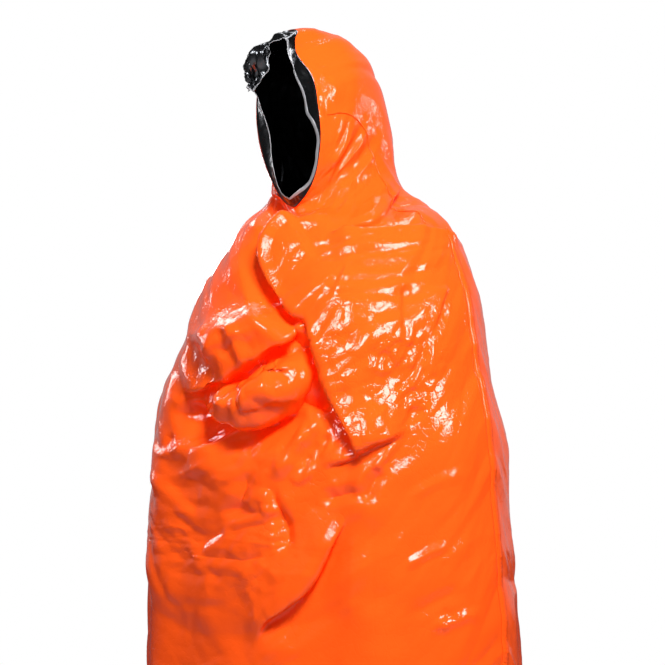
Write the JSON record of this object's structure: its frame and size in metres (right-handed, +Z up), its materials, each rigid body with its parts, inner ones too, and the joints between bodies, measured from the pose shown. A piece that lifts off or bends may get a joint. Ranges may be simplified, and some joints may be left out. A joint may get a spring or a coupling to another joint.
{
  "type": "survival bag",
  "caption": "Full-length film survival bag with a metallised inner side, standing as worn: closed foot, gathered front, and a hood whose mouth frames the face.",
  "frame": {"origin": "middle of the foot weld's underside, on the ground below the wearer's axis", "axes": "+Z up along the bag, -Y the way the wearer faces, +X the wearer's left"},
  "size_m": [0.634, 0.4205, 1.8338],
  "materials": {
    "orange_film": "glossy, crumpled polyethylene film",
    "metallised_lining": "bright metallised film, crumpled",
    "welded_seam": "heat welded film",
    "pale_hem": "pale translucent film strip"
  },
  "bodies": {
    "root": {"front_film": "orange_film", "back_film": "orange_film", "front_lining": "metallised_lining", "back_lining": "metallised_lining", "left_side_seam": "welded_seam", "right_side_seam": "welded_seam", "foot_seam": "welded_seam", "mouth_hem": "pale_hem"}
  },
  "joints": []
}
